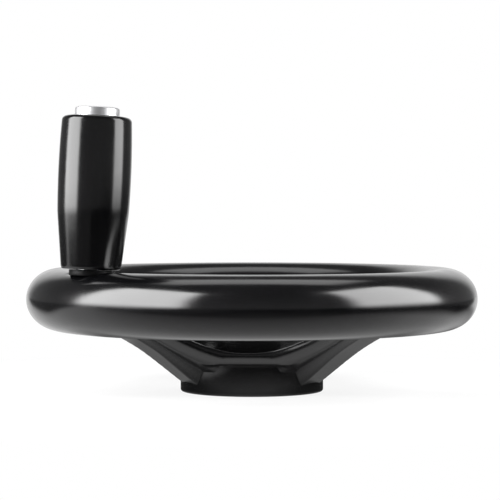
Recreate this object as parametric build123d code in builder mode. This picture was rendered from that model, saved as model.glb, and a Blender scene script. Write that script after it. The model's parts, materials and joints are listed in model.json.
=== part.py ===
from build123d import *
from math import cos, pi, radians, sin, sqrt
import os

# Machine handwheel with a revolving handle, in millimetres.
# Origin at the centre of the bore on the hub's bottom face, +Z up along the bore.

# Rim, of nearly round section with narrow flats, each within 0.15 of the curve
rim_dia = 160.0
rim_width = 22.6
rim_height = 21.4
rim_mid_z = 33.0
rim_flats = 20

# Hub, below and above the spokes
hub_dia = 50.8
hub_edge_chamfer = 0.6
hub_shoulder_step = 0.9
hub_top_dia = 40.0
hub_top_z = 31.0
hub_top_chamfer = 1.5

# Spokes, left between windows in a plate that rises to the rim
spoke_count = 3
first_spoke_angle = 90.0
spoke_width = 32.0
plate_root_z = 8.2
plate_below_rim_mid = 5.2
plate_thickness = 5.2
window_gap = 3.1
window_corner_round = 8.0
window_edge_chamfer = 1.5
hollow_top_z = 11.0

# Rib under each spoke, wider and shallower towards the rim
rib_root_half_width = 8.0
rib_root_depth = 3.35
rib_knee_depth = 1.45
rib_end_depth = 2.05
rib_knee_share = 0.41
rib_edge_chamfer = 2.4

# Steel bush moulded into the hub
bore_dia = 16.0
bush_dia = 26.0
bore_chamfer = 0.8

# Place of the handle on the rim's crest, past the middle of the second spoke, and its lean inwards
handle_from_spoke = 11.0
handle_lean = 3.0
seat_depth = 1.3
seat_dia = 18.0

# Threaded insert in the rim and the washer on it
thread_dia = 8.0
thread_clearance = 0.05
thread_length = 12.0
thread_end_gap = 1.5
insert_wall = 2.0
insert_floor = 2.5
washer_dia = 14.6
washer_thickness = 2.0
washer_bore_clearance = 0.15
washer_edge_chamfer = 0.3

# Spindle through the handle
spindle_dia = 10.0
head_dia = 15.0
head_stands_out = 3.1
head_chamfer = 0.7
socket_across_flats = 6.0
socket_depth = 3.0

# Revolving handle
grip_length = 51.3
grip_bottom_dia = 20.1
grip_knee_dia = 24.0
grip_knee_height = 19.0
grip_middle_dia = 24.5
grip_top_dia = 23.4
grip_bottom_chamfer = 0.6
grip_top_chamfer = 1.4
head_recess = 2.0
running_clearance = 0.05
head_clearance = 0.35
end_play = 0.15

rim_mid_radius = (rim_dia - rim_width) / 2
rim_inner_radius = rim_dia / 2 - rim_width
rim_top_z = rim_mid_z + rim_height / 2
hub_radius = hub_dia / 2
shoulder_radius = hub_radius - hub_shoulder_step

# One window between two spokes, along +X: a straight inner side, then sides along the spokes
half_gap = radians(180 / spoke_count)
window_inner = hub_radius + window_gap
window_inner_half = (window_inner * sin(half_gap) - spoke_width / 2) / cos(half_gap)
window_reach = rim_dia
window_outer_u = spoke_width / 2 * sin(half_gap) + window_reach * cos(half_gap)
window_outer_v = window_reach * sin(half_gap) - spoke_width / 2 * cos(half_gap)

with BuildPart() as window:
    with BuildSketch():
        with BuildLine():
            Polyline(
                (window_inner, -window_inner_half),
                (window_outer_u, -window_outer_v),
                (window_outer_u, window_outer_v),
                (window_inner, window_inner_half),
                close=True,
            )
        make_face()
        inner_corners = vertices().group_by(Axis.X)[0]
        fillet(inner_corners, radius=window_corner_round)
    extrude(amount=rim_top_z)

# Shallow hollow under the plate beside the hub, between the sides of two spokes, along +X
hollow_apex_u = spoke_width / 2 / sin(half_gap)

with BuildPart() as hollow:
    with BuildSketch():
        with BuildLine():
            Polyline(
                (hollow_apex_u, 0),
                (window_outer_u, -window_outer_v),
                (window_outer_u, window_outer_v),
                close=True,
            )
        make_face()
        Circle(hub_radius, mode=Mode.SUBTRACT)
    extrude(amount=hollow_top_z)

# Hub and sloping plate, with the windows cut out of it; the revolve's seam lies on a spoke
plate_end_radius = rim_inner_radius + rim_width / 6
plate_end_z = rim_mid_z - plate_below_rim_mid
plate_slope = (plate_end_z - plate_root_z) / (plate_end_radius - hub_radius)
plate_height = plate_thickness * sqrt(1 + plate_slope**2)
shoulder_z = plate_root_z + plate_height - plate_slope * hub_shoulder_step

with BuildPart() as spokes:
    with BuildSketch(Plane.XZ.rotated((0, 0, first_spoke_angle))):
        with BuildLine():
            Polyline(
                (0, 0),
                (hub_radius - hub_edge_chamfer, 0),
                (hub_radius, hub_edge_chamfer),
                (hub_radius, plate_root_z),
                (plate_end_radius, plate_end_z),
                (plate_end_radius, plate_end_z + plate_height),
                (shoulder_radius, shoulder_z),
                (hub_top_dia / 2, hub_top_z - hub_top_chamfer),
                (hub_top_dia / 2 - hub_top_chamfer, hub_top_z),
                (0, hub_top_z),
                close=True,
            )
        make_face()
    revolve(axis=Axis.Z)
    with PolarLocations(0, spoke_count, start_angle=first_spoke_angle - 180 / spoke_count):
        add(window.part, mode=Mode.SUBTRACT)
    # The rims of the windows are the curved edges between the hub and the plate's end
    window_rims = [
        edge
        for edge in spokes.edges().filter_by(GeomType.LINE, reverse=True)
        if window_inner - 1 < sqrt((edge @ 0.5).X ** 2 + (edge @ 0.5).Y ** 2) < plate_end_radius - 1
    ]
    chamfer(window_rims, length=window_edge_chamfer)
    with PolarLocations(0, spoke_count, start_angle=first_spoke_angle - 180 / spoke_count):
        add(hollow.part, mode=Mode.SUBTRACT)

# Rib under one spoke, along +X, from inside the hub to inside the rim
rib_knee_reach = rib_knee_share * (plate_end_radius - hub_radius)
rib_knee_radius = hub_radius + rib_knee_reach
rib_knee_z = plate_root_z + plate_slope * rib_knee_reach - rib_knee_depth
rib_slope = (rib_knee_z - plate_root_z + rib_root_depth) / rib_knee_reach
rib_start_radius = (bush_dia / 2 + hub_radius) / 2
rib_start_z = plate_root_z - rib_root_depth - rib_slope * (hub_radius - rib_start_radius)
rib_end_z = plate_end_z - rib_end_depth
rib_flare = (spoke_width / 2 - rib_root_half_width) / (plate_end_radius - hub_radius)
rib_start_half = rib_root_half_width - rib_flare * (hub_radius - rib_start_radius)

with BuildPart() as rib:
    with BuildSketch(Plane.XZ):
        with BuildLine():
            Polyline(
                (rib_start_radius, rib_start_z),
                (rib_knee_radius, rib_knee_z),
                (plate_end_radius, rib_end_z),
                (plate_end_radius, plate_end_z + plate_height / 2),
                (rib_start_radius, plate_root_z + plate_height / 2),
                close=True,
            )
        make_face()
    extrude(amount=spoke_width, both=True)
    with BuildSketch():
        with BuildLine():
            Polyline(
                (rib_start_radius, -rib_start_half),
                (plate_end_radius, -spoke_width / 2),
                (plate_end_radius, spoke_width / 2),
                (rib_start_radius, rib_start_half),
                close=True,
            )
        make_face()
    extrude(amount=rim_top_z, mode=Mode.INTERSECT)
    underside = [face for face in rib.faces() if face.normal_at().Z < -0.5]
    rib_edges = [
        edge
        for edge in ShapeList(underside).edges()
        if abs((edge @ 0.5).Y) > rib_start_half / 2
    ]
    chamfer(rib_edges, length=rib_edge_chamfer)

# Handle seat on the crest of the rim; its normal is the handle's axis
seat_angle = radians(first_spoke_angle + 360 / spoke_count + handle_from_spoke)
lean = radians(handle_lean)
seat_plane = Plane(
    origin=(rim_mid_radius * cos(seat_angle), rim_mid_radius * sin(seat_angle), rim_top_z - seat_depth),
    x_dir=(-sin(seat_angle), cos(seat_angle), 0),
    z_dir=(-sin(lean) * cos(seat_angle), -sin(lean) * sin(seat_angle), cos(lean)),
)
handle_axis = Axis(seat_plane.origin, seat_plane.z_dir)
insert_dia = thread_dia + 2 * insert_wall
insert_length = thread_length + thread_end_gap + insert_floor

# Wheel moulding: rim with the handle's seat and insert hole, then the spokes, ribs and hub
with BuildPart() as wheel_body:
    rim_angles = [2 * pi * step / rim_flats for step in range(rim_flats)]
    rim_outline = [
        (rim_mid_radius + rim_width / 2 * cos(angle), rim_mid_z + rim_height / 2 * sin(angle))
        for angle in rim_angles
    ]
    with BuildSketch(Plane.XZ):
        with BuildLine():
            Polyline(rim_outline, close=True)
        make_face()
    revolve(axis=Axis.Z)
    with BuildSketch(seat_plane):
        Circle(seat_dia / 2)
    extrude(amount=rim_height / 2, mode=Mode.SUBTRACT)
    with BuildSketch(seat_plane):
        Circle(insert_dia / 2)
    extrude(amount=-insert_length, mode=Mode.SUBTRACT)
    add(spokes.part)
    with PolarLocations(0, spoke_count, start_angle=first_spoke_angle):
        add(rib.part)
    with BuildSketch():
        Circle(bush_dia / 2)
    extrude(amount=hub_top_z, mode=Mode.SUBTRACT)

# Hub bush
with BuildPart() as hub_bush:
    with BuildSketch():
        Circle(bush_dia / 2)
        Circle(bore_dia / 2, mode=Mode.SUBTRACT)
    extrude(amount=hub_top_z)
    bore_face = hub_bush.faces().filter_by(GeomType.CYLINDER).sort_by(SortBy.AREA)[0]
    chamfer(bore_face.edges().filter_by(GeomType.CIRCLE), length=bore_chamfer)

# Handle insert, flush with the seat
with BuildPart() as handle_insert:
    with BuildSketch(seat_plane):
        Circle(insert_dia / 2)
    extrude(amount=-insert_length)
    with BuildSketch(seat_plane):
        Circle(thread_dia / 2 + thread_clearance)
    extrude(amount=-(thread_length + thread_end_gap), mode=Mode.SUBTRACT)

# Washer between the seat and the handle
with BuildPart() as seat_washer:
    with BuildSketch(seat_plane):
        Circle(washer_dia / 2)
        Circle(thread_dia / 2 + washer_bore_clearance, mode=Mode.SUBTRACT)
    extrude(amount=washer_thickness)
    washer_side = seat_washer.faces().filter_by(GeomType.CYLINDER).sort_by(SortBy.AREA)[-1]
    chamfer(washer_side.edges().filter_by(GeomType.CIRCLE), length=washer_edge_chamfer)

# Spindle: thread, plain shank and head
grip_base = washer_thickness + end_play
head_base = grip_base + grip_length - head_recess + end_play
head_height = grip_base + grip_length + head_stands_out - head_base

with BuildPart() as spindle:
    with BuildSketch(seat_plane.offset(-thread_length)):
        Circle(thread_dia / 2)
    extrude(amount=thread_length + washer_thickness)
    with BuildSketch(seat_plane.offset(washer_thickness)):
        Circle(spindle_dia / 2)
    extrude(amount=head_base - washer_thickness)
    with BuildSketch(seat_plane.offset(head_base)):
        Circle(head_dia / 2)
    extrude(amount=head_height)
    head_rim = spindle.edges().group_by(handle_axis)[-1]
    chamfer(head_rim, length=head_chamfer)
    with BuildSketch(seat_plane.offset(head_base + head_height)):
        RegularPolygon(socket_across_flats / 2, 6, major_radius=False)
    extrude(amount=-socket_depth, mode=Mode.SUBTRACT)

# Handle sleeve, turned about the spindle
side_plane = Plane(origin=seat_plane.origin, x_dir=seat_plane.x_dir, z_dir=-seat_plane.y_dir)
grip_bore_radius = spindle_dia / 2 + running_clearance
recess_radius = head_dia / 2 + head_clearance
recess_z = grip_base + grip_length - head_recess

with BuildPart() as handle_sleeve:
    with BuildSketch(side_plane):
        with BuildLine():
            Polyline(
                (grip_bore_radius, grip_base),
                (grip_bottom_dia / 2 - grip_bottom_chamfer, grip_base),
                (grip_bottom_dia / 2, grip_base + grip_bottom_chamfer),
                (grip_knee_dia / 2, grip_base + grip_knee_height),
            )
            ThreePointArc(
                (grip_knee_dia / 2, grip_base + grip_knee_height),
                (grip_middle_dia / 2, grip_base + (grip_knee_height + grip_length) / 2),
                (grip_top_dia / 2, grip_base + grip_length - grip_top_chamfer),
            )
            Polyline(
                (grip_top_dia / 2, grip_base + grip_length - grip_top_chamfer),
                (grip_top_dia / 2 - grip_top_chamfer, grip_base + grip_length),
                (recess_radius, grip_base + grip_length),
                (recess_radius, recess_z),
                (grip_bore_radius, recess_z),
                (grip_bore_radius, grip_base),
            )
        make_face()
    revolve(axis=handle_axis)

wheel_body.part.label = "wheel_body"
hub_bush.part.label = "hub_bush"
handle_insert.part.label = "handle_insert"
seat_washer.part.label = "seat_washer"
spindle.part.label = "spindle"
handle_sleeve.part.label = "handle_sleeve"

os.makedirs("parts", exist_ok=True)
export_step(wheel_body.part, "parts/wheel_body.step")
export_step(hub_bush.part, "parts/hub_bush.step")
export_step(handle_insert.part, "parts/handle_insert.step")
export_step(seat_washer.part, "parts/seat_washer.step")
export_step(spindle.part, "parts/spindle.step")
export_step(handle_sleeve.part, "parts/handle_sleeve.step")

print("seat origin", seat_plane.origin, "axis", seat_plane.z_dir)
print("grip from", grip_base, "to", grip_base + grip_length)
print("head from", head_base, "to", head_base + head_height)
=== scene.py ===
import bpy
import bmesh
import json
import math
from mathutils import Matrix, Vector


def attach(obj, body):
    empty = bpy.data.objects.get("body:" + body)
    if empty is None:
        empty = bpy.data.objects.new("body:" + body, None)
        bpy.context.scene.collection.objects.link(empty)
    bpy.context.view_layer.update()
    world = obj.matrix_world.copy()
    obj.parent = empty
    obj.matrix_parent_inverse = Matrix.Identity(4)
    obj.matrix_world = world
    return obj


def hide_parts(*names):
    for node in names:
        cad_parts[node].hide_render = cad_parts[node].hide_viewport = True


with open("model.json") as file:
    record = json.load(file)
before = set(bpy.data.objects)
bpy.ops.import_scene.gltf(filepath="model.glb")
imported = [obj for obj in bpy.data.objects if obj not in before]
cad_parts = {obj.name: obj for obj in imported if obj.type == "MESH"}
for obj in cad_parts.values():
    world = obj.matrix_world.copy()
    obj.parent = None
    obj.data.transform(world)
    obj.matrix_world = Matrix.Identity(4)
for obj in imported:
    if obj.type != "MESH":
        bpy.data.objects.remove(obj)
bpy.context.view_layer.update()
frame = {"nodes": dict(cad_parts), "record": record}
nodes = frame["nodes"]
print("frame loaded:", sorted(nodes))

mm = 0.001   # pieces are shaped in millimetres and scaled once when they are finished

# node options that come back often
smooth = {"interpolation_type": "SMOOTHSTEP"}
multiply = {"operation": "MULTIPLY"}
floatMix = {"data_type": "FLOAT"}


def linearFromHex(hexText):
    values = [int(hexText[i:i + 2], 16) / 255 for i in (1, 3, 5)]
    return [v / 12.92 if v <= 0.04045 else ((v + 0.055) / 1.055) ** 2.4 for v in values] + [1.0]


def addNode(tree, kind, settings=None, values=None, links=None):
    # settings are the node's own options, values its unlinked inputs, links the sockets that feed its inputs
    node = tree.nodes.new(kind)
    for key, value in (settings or {}).items():
        setattr(node, key, value)
    for key, value in (values or {}).items():
        node.inputs[key].default_value = value
    for key, socket in (links or {}).items():
        tree.links.new(socket, node.inputs[key])
    return node


def newMaterial(name, shaderValues):
    material = bpy.data.materials.new(name)
    material.use_nodes = True
    shader = material.node_tree.nodes["Principled BSDF"]
    for key, value in shaderValues.items():
        shader.inputs[key].default_value = value
    return material, material.node_tree, shader


def finishPiece(name, shape, material, body, lit, sharpAngle=40, place=None):
    # lit is the collection of the softboxes that light the piece
    bmesh.ops.remove_doubles(shape, verts=shape.verts, dist=1e-4)
    bmesh.ops.recalc_face_normals(shape, faces=shape.faces)
    if place is not None:
        bmesh.ops.transform(shape, matrix=place, verts=shape.verts)
    bmesh.ops.scale(shape, vec=(mm, mm, mm), verts=shape.verts)
    mesh = bpy.data.meshes.new(name)
    shape.to_mesh(mesh)
    shape.free()
    mesh.polygons.foreach_set("use_smooth", [True] * len(mesh.polygons))
    mesh.set_sharp_from_angle(angle=math.radians(sharpAngle))
    mesh.materials.append(material)
    piece = bpy.data.objects.new(name, mesh)
    bpy.context.scene.collection.objects.link(piece)
    lit.objects.link(piece)
    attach(piece, body)
    print(name, "has", len(mesh.polygons), "faces")
    return piece


def spun(outline, steps, closed=True):
    # outline holds the (radius, height) corners of a section, which is turned about the z axis
    shape = bmesh.new()
    corners = [shape.verts.new((radius, 0, height)) for radius, height in outline]
    sides = [shape.edges.new((corners[i - 1], corners[i])) for i in range(0 if closed else 1, len(corners))]
    bmesh.ops.spin(shape, geom=corners + sides, cent=(0, 0, 0), axis=(0, 0, 1), angle=2 * math.pi,
                   steps=steps, use_merge=True)
    return shape


def roundCorner(shape, radius, height, size, segments):
    # rounds the circular edge that lies at this radius and height
    def onCircle(vert):
        return abs(math.hypot(vert.co.x, vert.co.y) - radius) < 0.01 and abs(vert.co.z - height) < 0.01
    circle = [edge for edge in shape.edges if onCircle(edge.verts[0]) and onCircle(edge.verts[1])]
    bmesh.ops.bevel(shape, geom=circle, offset=size, offset_type="OFFSET", segments=segments, profile=0.5,
                    affect="EDGES", material=-1, clamp_overlap=False)


def openEdges(shape):
    return [edge for edge in shape.edges if edge.is_boundary]


def vertsOf(result):
    return [item for item in result["geom"] if isinstance(item, bmesh.types.BMVert)]


# camera: the photo's view, a little above the rim and 3 degrees past the middle of the front window
view = {
    "turn": 3.0,            # degrees about the wheel's axis
    "distance": 716.6,      # mm from the wheel's axis
    "height": 66.86,        # mm above the hub's bottom face
    "focalPixels": 2011.6,
    "imageSide": 500,       # pixels
    "horizonRow": 203.0,
    "axisColumn": 251.9,
    "sensor": 36,           # mm
    "nearClip": 0.01,       # m
}
cameraData = bpy.data.cameras.new("studioCamera")
camera = bpy.data.objects.new("studioCamera", cameraData)
bpy.context.scene.collection.objects.link(camera)
cameraData.sensor_width = view["sensor"]
cameraData.lens = view["focalPixels"] / view["imageSide"] * view["sensor"]
cameraData.clip_start = view["nearClip"]
turn = math.radians(view["turn"])
camera.location = Matrix.Rotation(turn, 3, "Z") @ Vector((0, -view["distance"] * mm, view["height"] * mm))
tiltDown = math.atan((view["imageSide"] / 2 - view["horizonRow"]) / view["focalPixels"])
yaw = math.atan((view["axisColumn"] - view["imageSide"] / 2) / view["focalPixels"])
camera.rotation_euler = (math.pi / 2 - tiltDown, 0, turn + yaw)
bpy.context.scene.camera = camera
print("camera placed")

# studio: a white table, a large softbox at each side of the wheel, a narrower pair for the hub and the handle, and
# one overhead
wheelPieces = bpy.data.collections.new("wheelPieces")
gripPieces = bpy.data.collections.new("gripPieces")
for collection in (wheelPieces, gripPieces):
    bpy.context.scene.collection.children.link(collection)

studio = {
    "floorColour": "#F2F2F2",
    "floorSize": 4.0,
    "softEdge": 0.32,      # share of the half width over which a softbox fades to its rim
}
# azimuth in degrees to the left of the camera's direction, distance, middle height, width and height in metres,
# radiance at the middle (white paper is 1), share of the height over which it fades at its foot, what it lights
softboxes = {
    "wheelLeft": {"azimuth": 62, "distance": 0.58, "middle": 0.43, "size": (0.80, 0.98), "radiance": 9.6,
                  "lowFade": 0.2, "lights": wheelPieces},
    "wheelRight": {"azimuth": -76, "distance": 0.58, "middle": 0.43, "size": (0.68, 0.96), "radiance": 7.4,
                   "lowFade": 0.22, "lights": wheelPieces},
    "gripLeft": {"azimuth": 71, "distance": 0.47, "middle": 0.26, "size": (0.44, 0.5), "radiance": 8.0,
                 "lowFade": 0.04, "lights": gripPieces},
    "gripRight": {"azimuth": -77, "distance": 0.44, "middle": 0.26, "size": (0.35, 0.5), "radiance": 5.5,
                  "lowFade": 0.04, "lights": gripPieces},
}
# back is how far behind the wheel's axis it hangs, and it lights everything
overhead = {"height": 0.9, "back": 0.25, "aim": 0.03, "size": (0.9, 0.5), "radiance": 1.8, "lowFade": 0.2,
            "lights": None}


def addSoftbox(name, location, box, target):
    lightData = bpy.data.lights.new(name, "AREA")
    lightData.shape = "RECTANGLE"
    lightData.size, lightData.size_y = box["size"]
    lightData.energy = box["radiance"] * math.pi * box["size"][0] * box["size"][1]
    light = bpy.data.objects.new(name, lightData)
    bpy.context.scene.collection.objects.link(light)
    light.location = location
    light.rotation_euler = (Vector(target) - Vector(location)).to_track_quat("-Z", "Y").to_euler()
    light.visible_camera = False
    # brightest at the middle, as the cloth of a softbox is, and fading out at its foot
    lightData.use_nodes = True
    tree = lightData.node_tree
    cloth = addNode(tree, "ShaderNodeNewGeometry").outputs["Parametric"]
    centred = addNode(tree, "ShaderNodeVectorMath", {"operation": "SUBTRACT"}, {1: (0.5, 0.5, 0)}, {0: cloth})
    fromMiddle = addNode(tree, "ShaderNodeVectorMath", {"operation": "ABSOLUTE"}, links={0: centred.outputs[0]})
    sides = addNode(tree, "ShaderNodeSeparateXYZ", links={"Vector": fromMiddle.outputs[0]})
    across, upright = [addNode(tree, "ShaderNodeMapRange", smooth, {
        "From Min": 0.5, "From Max": 0.5 * (1 - studio["softEdge"])}, {"Value": sides.outputs[axis]})
        for axis in ("X", "Y")]
    corners = addNode(tree, "ShaderNodeMath", multiply, links={0: across.outputs[0], 1: upright.outputs[0]})
    heights = addNode(tree, "ShaderNodeSeparateXYZ", links={"Vector": cloth})
    foot = addNode(tree, "ShaderNodeMapRange", smooth, {"From Min": 0.0, "From Max": box["lowFade"]},
                   {"Value": heights.outputs["Y"]})
    cover = addNode(tree, "ShaderNodeMath", multiply, links={0: corners.outputs[0], 1: foot.outputs[0]})
    tree.links.new(cover.outputs[0], tree.nodes["Emission"].inputs["Strength"])
    if box["lights"] is not None:
        light.light_linking.receiver_collection = box["lights"]


for name, box in softboxes.items():
    angle = math.radians(-90 - box["azimuth"]) + turn
    place = Vector((box["distance"] * math.cos(angle), box["distance"] * math.sin(angle), box["middle"]))
    addSoftbox(name + "Softbox", place, box, (0, 0, place.z))
addSoftbox("topSoftbox", Matrix.Rotation(turn, 3, "Z") @ Vector((0, overhead["back"], overhead["height"])),
           overhead, (0, 0, overhead["aim"]))

# table: plain white to the camera but for the object's soft shadow. In the gloss of the object it shows a painted
# glow instead of its lit shading, a painted reflection that is brightest below and behind the object and falls off
# towards the camera, as a lit table in a dark room does.
# A row has the two distances in metres between which a level or a share changes, and its value at each of them.
# Distances are behind the axis or to its right where they are positive.
table = {
    "seen": (0.11, 0.17, 0.86, 1.0),          # level to the camera, from the shadow at the foot outwards
    "front": (-0.135, -0.055, 0.10, 1.0),     # nearly dark towards the camera, white near the axis
    "right": (0.11, 0.24, 1.0, 0.10),
    "isBehind": (0.0, 0.03, 0.0, 1.0),        # behind the wheel two things are white instead:
    "ring": (0.16, 0.08, 0.10, 1.0),          # the table near the axis
    "wedgeEdge": (-0.03, 0.03, 0.0, 1.0),     # and a wedge, with its soft edge, first half width and opening
    "wedgeStart": 0.13,
    "wedgeSlope": 0.45,
    "isBeside": (-0.035, -0.02, 0.0, 1.0),    # beside the hub a painted shadow of the wheel lies on the glow
    "wheelShadow": (0.06, 0.08, 0.3, 1.0),
    "isFlat": (0.6, 0.84, 0.0, 1.0),          # at a flat angle (Layer Weight's Facing) it shows painted stripes instead, as far back as this
    "stripesEnd": (0.25, 0.12, 0.0, 1.0),     # as far back as this
    "stripesAcross": (-0.16, 0.16, 0.0, 1.0),
    # (metres to the right of the axis, level) of the painted stripes
    "stripes": ((-0.16, 1.0), (-0.066, 1.0), (-0.058, 0.03), (-0.05, 0.03), (-0.042, 0.16), (0.04, 0.16),
                (0.048, 0.02), (0.088, 0.02), (0.096, 0.3)),
}
floorMesh = bpy.data.meshes.new("studioFloor")
shape = bmesh.new()
bmesh.ops.create_grid(shape, x_segments=1, y_segments=1, size=studio["floorSize"] / 2)
shape.to_mesh(floorMesh)
shape.free()
floor = bpy.data.objects.new("studioFloor", floorMesh)
bpy.context.scene.collection.objects.link(floor)
wheelPieces.objects.link(floor)

# heavy matte white paper, lit evenly; glossy rays see the painted glow instead
floorMaterial, tree, shader = newMaterial("whitePaperFloorPaintedGlossGlow", {
    "Base Color": linearFromHex(studio["floorColour"]), "Roughness": 0.9, "Specular IOR Level": 0.2})
rays = addNode(tree, "ShaderNodeLightPath")
coords = addNode(tree, "ShaderNodeTexCoord").outputs["Object"]
turned = addNode(tree, "ShaderNodeMapping", {"vector_type": "POINT"}, {"Rotation": (0, 0, -turn)},
                 {"Vector": coords})
split = addNode(tree, "ShaderNodeSeparateXYZ", links={"Vector": turned.outputs[0]})
toRight, toBack = split.outputs["X"], split.outputs["Y"]
fromAxis = addNode(tree, "ShaderNodeVectorMath", {"operation": "LENGTH"}, links={0: coords}).outputs["Value"]
slant = addNode(tree, "ShaderNodeLayerWeight", values={"Blend": 0.5}).outputs["Facing"]
offMiddle = addNode(tree, "ShaderNodeMath", {"operation": "ABSOLUTE"}, links={0: toRight})
wedgeHalf = addNode(tree, "ShaderNodeMath", {"operation": "MULTIPLY_ADD"},
                    {1: table["wedgeSlope"], 2: table["wedgeStart"]}, {0: toBack})
inWedge = addNode(tree, "ShaderNodeMath", {"operation": "SUBTRACT"},
                  links={0: wedgeHalf.outputs[0], 1: offMiddle.outputs[0]}).outputs[0]
levels = {}
for key, socket, settings in (
        ("seen", fromAxis, smooth), ("front", toBack, None), ("right", toRight, None), ("ring", fromAxis, None),
        ("isBehind", toBack, None), ("wedgeEdge", inWedge, smooth), ("wheelShadow", fromAxis, None),
        ("isBeside", toBack, None), ("isFlat", slant, None), ("stripesEnd", toBack, None),
        ("stripesAcross", toRight, None)):
    start, end, startLevel, endLevel = table[key]
    levels[key] = addNode(tree, "ShaderNodeMapRange", settings, {
        "From Min": start, "From Max": end, "To Min": startLevel, "To Max": endLevel}, {"Value": socket}).outputs[0]

stripes = addNode(tree, "ShaderNodeValToRGB", links={"Fac": levels["stripesAcross"]})
leftEnd, rightEnd = table["stripesAcross"][:2]
ramp = stripes.color_ramp
while len(ramp.elements) > 1:
    ramp.elements.remove(ramp.elements[-1])
ramp.elements[0].position = 0
ramp.elements[0].color = (table["stripes"][0][1],) * 3 + (1,)
for x, level in table["stripes"]:
    element = ramp.elements.new((x - leftEnd) / (rightEnd - leftEnd))
    element.color = (level, level, level, 1)
striped = addNode(tree, "ShaderNodeMath", multiply, links={0: levels["isFlat"], 1: levels["stripesEnd"]})
dimming = addNode(tree, "ShaderNodeMix", floatMix, {"A": 1.0},
                  {"Factor": striped.outputs[0], "B": stripes.outputs["Color"]})
behindWheel = addNode(tree, "ShaderNodeMath", {"operation": "MAXIMUM"},
                      links={0: levels["wedgeEdge"], 1: levels["ring"]})
around = addNode(tree, "ShaderNodeMix", floatMix,
                 links={"Factor": levels["isBehind"], "A": levels["right"], "B": behindWheel.outputs[0]})
shaded = addNode(tree, "ShaderNodeMix", floatMix, {"A": 1.0},
                 {"Factor": levels["isBeside"], "B": levels["wheelShadow"]})
paintedGlowLevel = levels["front"]
for share in (shaded, dimming, around):
    paintedGlowLevel = addNode(tree, "ShaderNodeMath", multiply, links={0: paintedGlowLevel, 1: share.outputs[0]}).outputs[0]

seen = addNode(tree, "ShaderNodeEmission", values={"Color": (1, 1, 1, 1), "Strength": 1.0})
# the painted glow that glossy rays see: a painted reflection, with a painted shadow and painted stripes
paintedGlossGlow = addNode(tree, "ShaderNodeEmission", values={"Color": (1, 1, 1, 1)}, links={"Strength": paintedGlowLevel})
seenShare = addNode(tree, "ShaderNodeMath", multiply, links={0: rays.outputs["Is Camera Ray"], 1: levels["seen"]})
forGloss = addNode(tree, "ShaderNodeMixShader",
                   links={0: rays.outputs["Is Glossy Ray"], 1: shader.outputs[0], 2: paintedGlossGlow.outputs[0]})
blend = addNode(tree, "ShaderNodeMixShader",
                links={0: seenShare.outputs[0], 1: forGloss.outputs[0], 2: seen.outputs[0]})
tree.links.new(blend.outputs[0], tree.nodes["Material Output"].inputs["Surface"])
floorMesh.materials.append(floorMaterial)

# room: white paper behind the wheel up to about 30 degrees, dim walls above and in front
room = {
    "paperSides": (0.84, 0.97),     # cosine of the compass angle from straight behind, outer edge and full white
    "paperTop": (0.6, 0.42),        # and sine of the height angle
    "wallHeights": (0.1, 0.7),      # sines of the height angles between which the walls darken
    "wallLevels": (0.22, 0.10),
}
world = bpy.data.worlds.new("studioWorld")
bpy.context.scene.world = world
world.use_nodes = True
tree = world.node_tree
background = tree.nodes["Background"]
direction = addNode(tree, "ShaderNodeTexCoord")
turned = addNode(tree, "ShaderNodeMapping", {"vector_type": "POINT"}, {"Rotation": (0, 0, -turn)},
                 {"Vector": direction.outputs["Generated"]})
parts = addNode(tree, "ShaderNodeSeparateXYZ", links={"Vector": turned.outputs[0]})
compass = addNode(tree, "ShaderNodeVectorMath", multiply, {1: (1, 1, 0)}, {0: turned.outputs[0]})
compassLength = addNode(tree, "ShaderNodeVectorMath", {"operation": "LENGTH"}, links={0: compass.outputs[0]})
backShare = addNode(tree, "ShaderNodeMath", {"operation": "DIVIDE"},
                    links={0: parts.outputs["Y"], 1: compassLength.outputs["Value"]})
behind = addNode(tree, "ShaderNodeMapRange", smooth, {
    "From Min": room["paperSides"][0], "From Max": room["paperSides"][1]}, {"Value": backShare.outputs[0]})
low = addNode(tree, "ShaderNodeMapRange", smooth, {
    "From Min": room["paperTop"][0], "From Max": room["paperTop"][1]}, {"Value": parts.outputs["Z"]})
paper = addNode(tree, "ShaderNodeMath", multiply, links={0: behind.outputs[0], 1: low.outputs[0]})
walls = addNode(tree, "ShaderNodeMapRange", None, {
    "From Min": room["wallHeights"][0], "From Max": room["wallHeights"][1],
    "To Min": room["wallLevels"][0], "To Max": room["wallLevels"][1]}, {"Value": parts.outputs["Z"]})
around = addNode(tree, "ShaderNodeMapRange", None, {"To Max": 1.0},
                 {"Value": paper.outputs[0], "To Min": walls.outputs[0]})
rays = addNode(tree, "ShaderNodeLightPath")
strength = addNode(tree, "ShaderNodeMath", {"operation": "MAXIMUM"},
                   links={0: around.outputs[0], 1: rays.outputs["Is Camera Ray"]})
tree.links.new(strength.outputs[0], background.inputs["Strength"])
background.inputs["Color"].default_value = (1, 1, 1, 1)
bpy.context.scene.view_settings.view_transform = "Standard"
print("studio lit")

# materials
noiseRange = (0.3, 0.7)    # where nearly all of a noise texture's values lie


def varyRoughness(tree, shader, noise, roughness):
    gloss = addNode(tree, "ShaderNodeMapRange", None, {
        "From Min": noiseRange[0], "From Max": noiseRange[1], "To Min": roughness[0], "To Max": roughness[1]},
        {"Value": noise.outputs["Fac"]})
    tree.links.new(gloss.outputs[0], shader.inputs["Roughness"])


phenolic = {
    "colour": "#050506",
    "roughness": (0.14, 0.20),
    "ior": 1.62,
    "cloud": 14.0,         # mm between patches of slightly different gloss
    "swell": 0.07,         # mm of slow swell left by shrinkage, in the same patches
    "orangePeel": 2.2,     # mm between the soft waves of the moulded skin
    "peelDepth": 0.02,     # mm
    "peelStrength": 0.06,
}


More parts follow.
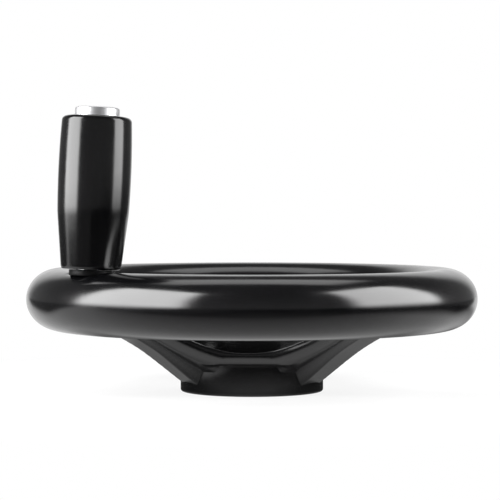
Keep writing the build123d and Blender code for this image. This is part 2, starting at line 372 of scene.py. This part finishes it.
def phenolicMaterial(name, patternShift):
    # black phenolic resin, compression moulded in a polished tool: deep gloss with very faint waves in the skin
    material, tree, shader = newMaterial(name, {
        "Base Color": linearFromHex(phenolic["colour"]), "IOR": phenolic["ior"], "Metallic": 0.0})
    coords = addNode(tree, "ShaderNodeTexCoord")
    place = addNode(tree, "ShaderNodeMapping", None, {"Location": patternShift}, {"Vector": coords.outputs["Object"]})
    cloud = addNode(tree, "ShaderNodeTexNoise", None, {"Scale": 1 / (phenolic["cloud"] * mm), "Detail": 3.0},
                    {"Vector": place.outputs[0]})
    varyRoughness(tree, shader, cloud, phenolic["roughness"])
    waves = addNode(tree, "ShaderNodeTexNoise", None, {"Scale": 1 / (phenolic["orangePeel"] * mm), "Detail": 1.0},
                    {"Vector": place.outputs[0]})
    swell = addNode(tree, "ShaderNodeBump", None, {"Strength": 1.0, "Distance": phenolic["swell"] * mm},
                    {"Height": cloud.outputs["Fac"]})
    skin = addNode(tree, "ShaderNodeBump", None, {
        "Strength": phenolic["peelStrength"], "Distance": phenolic["peelDepth"] * mm},
        {"Height": waves.outputs["Fac"], "Normal": swell.outputs[0]})
    tree.links.new(skin.outputs[0], shader.inputs["Normal"])
    return material


# feed and depth in mm; the feed is drawn coarser than a real lathe's, so that the rings show
turning = {"feed": 0.5, "depth": 0.02, "strength": 0.5}


def turnedMetal(name, colour, roughness, metallic=1.0, foot=(0, 0, 0), lean=(0, 0, 0)):
    # bar turned on a lathe: fine rings round its axis (through foot, turned by lean), on the ends as on the sides
    material, tree, shader = newMaterial(name, {"Base Color": linearFromHex(colour), "Metallic": metallic})
    coords = addNode(tree, "ShaderNodeTexCoord")
    centred = addNode(tree, "ShaderNodeMapping", {"vector_type": "TEXTURE"}, {"Location": foot, "Rotation": lean},
                      {"Vector": coords.outputs["Object"]})
    across = addNode(tree, "ShaderNodeVectorMath", multiply, {1: (1, 1, 0)}, {0: centred.outputs[0]})
    radius = addNode(tree, "ShaderNodeVectorMath", {"operation": "LENGTH"}, links={0: across.outputs[0]})
    height = addNode(tree, "ShaderNodeSeparateXYZ", links={"Vector": centred.outputs[0]})
    along = addNode(tree, "ShaderNodeMath", {"operation": "ADD"},
                    links={0: radius.outputs["Value"], 1: height.outputs["Z"]})
    rings = addNode(tree, "ShaderNodeTexNoise", {"noise_dimensions": "1D"}, {
        "Scale": 1 / (turning["feed"] * mm), "Detail": 2.0}, {"W": along.outputs[0]})
    varyRoughness(tree, shader, rings, roughness)
    marks = addNode(tree, "ShaderNodeBump", None, {
        "Strength": turning["strength"], "Distance": turning["depth"] * mm}, {"Height": rings.outputs["Fac"]})
    tree.links.new(marks.outputs[0], shader.inputs["Normal"])
    return material


wheelMoulding = phenolicMaterial("mouldedBlackPhenolic", (0, 0, 0))
handleMoulding = phenolicMaterial("mouldedBlackPhenolicHandle", (0.4, 0.1, 0.2))
joint = frame["record"]["behaviour"]["joints"][0]
handleFoot = Vector(joint["pos_m"])
handleLean = Vector(joint["axis"]).to_track_quat("Z", "Y").to_euler()
# zinc plate with a satin shine, a near-black washer, partly its own black oxide and partly painted shade of the gap
# under the handle, plain brass, plain steel
platedSteel = turnedMetal("zincPlatedTurnedSteel", "#EDEDEF", (0.38, 0.50), foot=handleFoot, lean=handleLean)
# the washer is darkened past its own black as painted shade of the gap under the handle
washerPaintedGapShade = turnedMetal("blackWasherPaintedGapShade", "#101011", (0.42, 0.55), 0.6, handleFoot, handleLean)
turnedBrass = turnedMetal("turnedBrassInsert", "#C9A35A", (0.22, 0.34), foot=handleFoot, lean=handleLean)
hubBush = nodes["hub_bush"]
hubBush.data.materials.clear()
hubBush.data.materials.append(turnedMetal("turnedSteelBush", "#A9A9AC", (0.22, 0.36)))
print("materials set")

# rim: an almost round bar bent into a ring, with a small flat seat for the handle on its crest
rim = {
    "midRadius": 68.7,
    "width": 22.6,
    "height": 21.4,
    "midZ": 33.0,
    "sectionSteps": 72,
    "steps": 288,
    "seatRadius": 9.0,
}
seatCentre = handleFoot / mm
seatNormal = Vector(joint["axis"]).normalized()
shape = bmesh.new()
section = bmesh.ops.create_circle(shape, cap_ends=False, segments=rim["sectionSteps"], radius=1.0)["verts"]
bmesh.ops.transform(shape, verts=section, matrix=(
    Matrix.Translation((rim["midRadius"], 0, rim["midZ"])) @ Matrix.Rotation(math.pi / 2, 4, "X")
    @ Matrix.Diagonal((rim["width"] / 2, rim["height"] / 2, 1, 1))))
bmesh.ops.spin(shape, geom=shape.verts[:] + shape.edges[:], cent=(0, 0, 0), axis=(0, 0, 1), angle=2 * math.pi,
               steps=rim["steps"], use_merge=True)
for vert in shape.verts:
    offset = vert.co - seatCentre
    above = offset.dot(seatNormal)
    if above > 0 and (offset - above * seatNormal).length < rim["seatRadius"]:
        vert.co -= above * seatNormal
rimPiece = finishPiece("mouldedRim", shape, wheelMoulding, "wheel", wheelPieces)

# spokes: one sheet with the plan of the three spokes, rounded at its edges, raised to the plate's two faces
spokes = {
    "count": 3,
    "firstAngle": 90.0,
    "halfWidth": 16.0,
    "endRadius": 61.17,
    "hubRadius": 25.4,
    "windowInner": 28.5,
    "windowCorner": 20.0,
    "cornerSteps": 24,
    "rootZ": 8.2,          # underside of a spoke at the hub
    "endZ": 29.6,          # underside of a spoke inside the rim
    "height": 5.93,        # upright thickness
    "edgeRound": 2.6,      # width of the rounded edge seen from above
    "underRise": 3.0,      # and its height on the underside and on the top
    "topFall": 0.9,
    "edgeRows": 7,
    "hollowZ": 11.0,       # the plate's underside beside the hub, between two spokes
    "hollowBlend": 2.2,
    "cell": 0.9,           # mm between the cuts that let the sheet bend
    "cutShift": 0.013,     # keeps the cuts off the outline's own points
    "innerRadius": 19.0,   # the sheet stops here, inside the hub's wall
}
ribs = {
    "rootRadius": 22.0,
    "rootHalf": 8.0,
    "endHalf": 12.0,
    "line": ((25.4, 4.0), (40.1, 15.6), (61.17, 27.6)),   # (radius, height) along the rib's lower edge
    "lineSoftness": 0.4,
    "sideSlope": 2.6,
    "sideInset": 1.2,
    "edgeSoftness": 0.7,
    "footSoftness": 0.5,
}
spokeAngles = [math.radians(spokes["firstAngle"] + 360 / spokes["count"] * k) for k in range(spokes["count"])]
spokeRun = spokes["endRadius"] - spokes["hubRadius"]
plateSlope = (spokes["endZ"] - spokes["rootZ"]) / spokeRun


def softMax(a, b, softness):
    # the larger of the two, with a rounded step between them
    gap = (a - b) / softness
    return max(a, b) + softness * math.log1p(math.exp(-abs(gap)))


def softMin(a, b, softness):
    return -softMax(-a, -b, softness)


def smoothStep(value):
    value = min(max(value, 0.0), 1.0)
    return value * value * (3 - 2 * value)


def spokeCoords(x, y):
    # distance along and across the nearest spoke
    along = [x * math.cos(angle) + y * math.sin(angle) for angle in spokeAngles]
    nearest = along.index(max(along))
    angle = spokeAngles[nearest]
    return along[nearest], abs(y * math.cos(angle) - x * math.sin(angle))


def ribLine(u):
    (r0, z0), (r1, z1), (r2, z2) = ribs["line"]
    first = z0 + (z1 - z0) / (r1 - r0) * (u - r0)
    second = z1 + (z2 - z1) / (r2 - r1) * (u - r1)
    return softMin(first, second, ribs["lineSoftness"])


def plateZ(x, y):
    return spokes["rootZ"] + plateSlope * (math.hypot(x, y) - spokes["hubRadius"])


def undersideZ(x, y):
    u, v = spokeCoords(x, y)
    u = max(u, ribs["rootRadius"])
    plate = plateZ(x, y)
    besideSpoke = smoothStep((v - spokes["halfWidth"] + spokes["hollowBlend"]) / spokes["hollowBlend"])
    plate += besideSpoke * max(spokes["hollowZ"] - plate, 0)
    half = ribs["rootHalf"] + (ribs["endHalf"] - ribs["rootHalf"]) * (u - spokes["hubRadius"]) / spokeRun
    flank = softMax(0, ribs["sideSlope"] * (v - half + ribs["sideInset"]), ribs["edgeSoftness"])
    return softMin(plate, ribLine(u) + flank, ribs["footSoftness"])


def largestFace(shape):
    return max(shape.faces, key=lambda face: face.calc_area())


shape = bmesh.new()
corners = []
inner = []
halfGap = math.pi / spokes["count"]
innerHalf = (spokes["windowInner"] * math.sin(halfGap) - spokes["halfWidth"]) / math.cos(halfGap)
for angle in spokeAngles:
    for side in (-1, 1):
        end = Matrix.Rotation(angle, 3, "Z") @ Vector((spokes["endRadius"], side * spokes["halfWidth"], 0))
        corners.append(shape.verts.new(end))
    for side in (-1, 1):
        corner = Matrix.Rotation(angle + halfGap, 3, "Z") @ Vector((spokes["windowInner"], side * innerHalf, 0))
        vert = shape.verts.new(corner)
        corners.append(vert)
        inner.append(vert)
shape.faces.new(corners)
# each inner corner of a window turns by 60 degrees
bmesh.ops.bevel(shape, geom=inner, offset=spokes["windowCorner"] * math.tan(math.radians(30)), offset_type="OFFSET",
                segments=spokes["cornerSteps"], profile=0.5, affect="VERTICES", material=-1, clamp_overlap=False)
print("spoke outline has", len(shape.verts), "points")
# until the sheet is raised, z holds how far down its rounded edge a point is, from 0 to 1
for vert in shape.verts:
    vert.co.z = 1.0
rowAngles = [math.pi / 2 * k / spokes["edgeRows"] for k in range(spokes["edgeRows"] + 1)]
centre = largestFace(shape)
for before, after in zip(rowAngles, rowAngles[1:]):
    step = spokes["edgeRound"] * (math.cos(before) - math.cos(after))
    bmesh.ops.inset_region(shape, faces=[centre], thickness=step, use_even_offset=True, use_boundary=True)
    centre = largestFace(shape)
    for vert in centre.verts:
        vert.co.z = 1 - math.sin(after)
reach = spokes["endRadius"] + spokes["halfWidth"]
cuts = int(2 * reach / spokes["cell"])
for normal in ((1, 0, 0), (0, 1, 0)):
    for k in range(1, cuts):
        place = -reach + k * spokes["cell"] + spokes["cutShift"]
        bmesh.ops.bisect_plane(shape, geom=shape.verts[:] + shape.edges[:] + shape.faces[:], dist=1e-5,
                               plane_co=Vector(normal) * place, plane_no=normal)
middle = [face for face in shape.faces if face.calc_center_median().xy.length < spokes["innerRadius"]]
bmesh.ops.delete(shape, geom=middle, context="FACES")
print("spoke sheet has", len(shape.faces), "faces")
raised = bmesh.ops.extrude_face_region(shape, geom=shape.faces[:], use_keep_orig=True)
topVerts = set(vertsOf(raised))
for vert in shape.verts:
    x, y, share = vert.co
    if vert in topVerts:
        vert.co.z = plateZ(x, y) + spokes["height"] - spokes["topFall"] * share
    else:
        vert.co.z = undersideZ(x, y) + spokes["underRise"] * share
spokePiece = finishPiece("mouldedSpokes", shape, wheelMoulding, "wheel", wheelPieces, sharpAngle=50)

# hub: foot below the spokes and a tapered boss above, round the steel bush
hub = {
    "radius": 25.4,
    "footRound": 0.8,
    "wallTop": 10.5,
    "wallBand": 0.4,       # narrow band under the wall's top that keeps the wall's shading flat
    "shoulderRadius": 24.5,
    "shoulderZ": 13.6,
    "topRadius": 20.0,
    "topZ": 31.0,
    "topRound": 2.2,
    "holeRadius": 13.0,
    "steps": 192,
}
shape = spun([
    (hub["holeRadius"], 0), (hub["radius"], 0), (hub["radius"], hub["wallTop"] - hub["wallBand"]),
    (hub["radius"], hub["wallTop"]), (hub["shoulderRadius"], hub["shoulderZ"]), (hub["topRadius"], hub["topZ"]),
    (hub["holeRadius"], hub["topZ"])], hub["steps"])
roundCorner(shape, hub["radius"], 0, hub["footRound"], 5)
roundCorner(shape, hub["topRadius"], hub["topZ"], hub["topRound"], 8)
hubPiece = finishPiece("mouldedHub", shape, wheelMoulding, "wheel", gripPieces)
for piece in (rimPiece, spokePiece, hubPiece):
    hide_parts("wheel_body")

# handle: barrel grip, washer and spindle, all turned about the handle's own leaning axis
handlePlace = Matrix.Translation(seatCentre) @ seatNormal.to_track_quat("Z", "Y").to_matrix().to_4x4()
grip = {
    "base": 2.15,
    "length": 51.3,
    "bottomRadius": 10.05,
    "kneeRadius": 12.0,
    "kneeHeight": 19.0,
    "middleRadius": 12.25,
    "topRadius": 11.7,
    "bottomRound": 0.9,
    "topRound": 1.54,
    "recessRadius": 7.85,
    "recessDepth": 2.0,
    "recessRound": 0.3,
    "boreRadius": 5.05,
    "rows": 32,
    "steps": 160,
}


def barrelRadius(height):
    # straight taper up to the knee, then a shallow arc through the middle to the top
    if height <= grip["kneeHeight"]:
        return grip["bottomRadius"] + (grip["kneeRadius"] - grip["bottomRadius"]) * height / grip["kneeHeight"]
    middle = (grip["kneeHeight"] + grip["length"]) / 2
    t = (height - middle) / (grip["length"] - middle)
    rise = grip["middleRadius"] - (grip["kneeRadius"] + grip["topRadius"]) / 2
    return grip["middleRadius"] + (grip["topRadius"] - grip["kneeRadius"]) / 2 * t - rise * t * t


barrelHeights = [grip["length"] * k / grip["rows"] for k in range(grip["rows"] + 1)]
topOfGrip = grip["base"] + grip["length"]
recessZ = topOfGrip - grip["recessDepth"]
shape = spun(
    [(grip["boreRadius"], grip["base"])]
    + [(barrelRadius(height), grip["base"] + height) for height in barrelHeights]
    + [(grip["recessRadius"], topOfGrip), (grip["recessRadius"], recessZ), (grip["boreRadius"], recessZ)],
    grip["steps"])
roundCorner(shape, grip["bottomRadius"], grip["base"], grip["bottomRound"], 5)
roundCorner(shape, grip["topRadius"], topOfGrip, grip["topRound"], 8)
roundCorner(shape, grip["recessRadius"], topOfGrip, grip["recessRound"], 3)
gripPiece = finishPiece("barrelGrip", shape, handleMoulding, "handle", gripPieces,
                        place=handlePlace)
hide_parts("handle_sleeve")

washer = {"radius": 7.3, "hole": 4.15, "thickness": 2.0, "edgeRound": 0.3, "steps": 96}
shape = spun([(washer["hole"], 0), (washer["radius"], 0), (washer["radius"], washer["thickness"]),
              (washer["hole"], washer["thickness"])], washer["steps"])
for height in (0, washer["thickness"]):
    roundCorner(shape, washer["radius"], height, washer["edgeRound"], 3)
washerPiece = finishPiece("blackWasher", shape, washerPaintedGapShade, "wheel", gripPieces, place=handlePlace)
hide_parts("seat_washer")

# heights are from the rim's seat
insert = {"radius": 5.3, "hole": 4.05, "top": -0.7, "bottom": -16.0, "steps": 96}
shape = spun([(insert["hole"], insert["top"]), (insert["radius"], insert["top"]),
              (insert["radius"], insert["bottom"]), (insert["hole"], insert["bottom"])], insert["steps"])
insertPiece = finishPiece("turnedInsert", shape, turnedBrass, "wheel", gripPieces, place=handlePlace)
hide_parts("handle_insert")

spindle = {
    "threadRadius": 4.0,
    "threadDepth": 12.0,
    "shankRadius": 5.0,
    "headRadius": 7.5,
    "headBase": 51.6,
    "headTop": 56.55,
    "headRound": 0.7,
    "socketFlats": 6.0,    # across the hexagon
    "socketCircle": 3.84,  # radius of the circle round the hexagon on the head's face
    "socketDepth": 3.0,
    "steps": 144,          # a multiple of six, so that the socket gets true corners
}
shape = spun([
    (0, -spindle["threadDepth"]), (spindle["threadRadius"], -spindle["threadDepth"]),
    (spindle["threadRadius"], washer["thickness"]), (spindle["shankRadius"], washer["thickness"]),
    (spindle["shankRadius"], spindle["headBase"]), (spindle["headRadius"], spindle["headBase"]),
    (spindle["headRadius"], spindle["headTop"]), (spindle["socketCircle"], spindle["headTop"])],
    spindle["steps"], closed=False)
bmesh.ops.remove_doubles(shape, verts=shape.verts, dist=1e-4)
roundCorner(shape, spindle["headRadius"], spindle["headTop"], spindle["headRound"], 5)
# the hexagon socket: the head's inner circle drawn in to a hexagon, then sunk and closed
drawn = bmesh.ops.extrude_edge_only(shape, edges=openEdges(shape))
for vert in vertsOf(drawn):
    angle = math.atan2(vert.co.y, vert.co.x)
    sector = (angle + math.pi / 6) % (math.pi / 3) - math.pi / 6
    reach = spindle["socketFlats"] / 2 / math.cos(sector)
    vert.co.x, vert.co.y = reach * math.cos(angle), reach * math.sin(angle)
sunk = bmesh.ops.extrude_edge_only(shape, edges=openEdges(shape))
bmesh.ops.translate(shape, vec=(0, 0, -spindle["socketDepth"]), verts=vertsOf(sunk))
bmesh.ops.edgeloop_fill(shape, edges=openEdges(shape))
spindlePiece = finishPiece("platedSpindle", shape, platedSteel, "wheel", gripPieces,
                           place=handlePlace, sharpAngle=30)
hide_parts("spindle")
gripPieces.objects.link(hubBush)
print("handle turned")
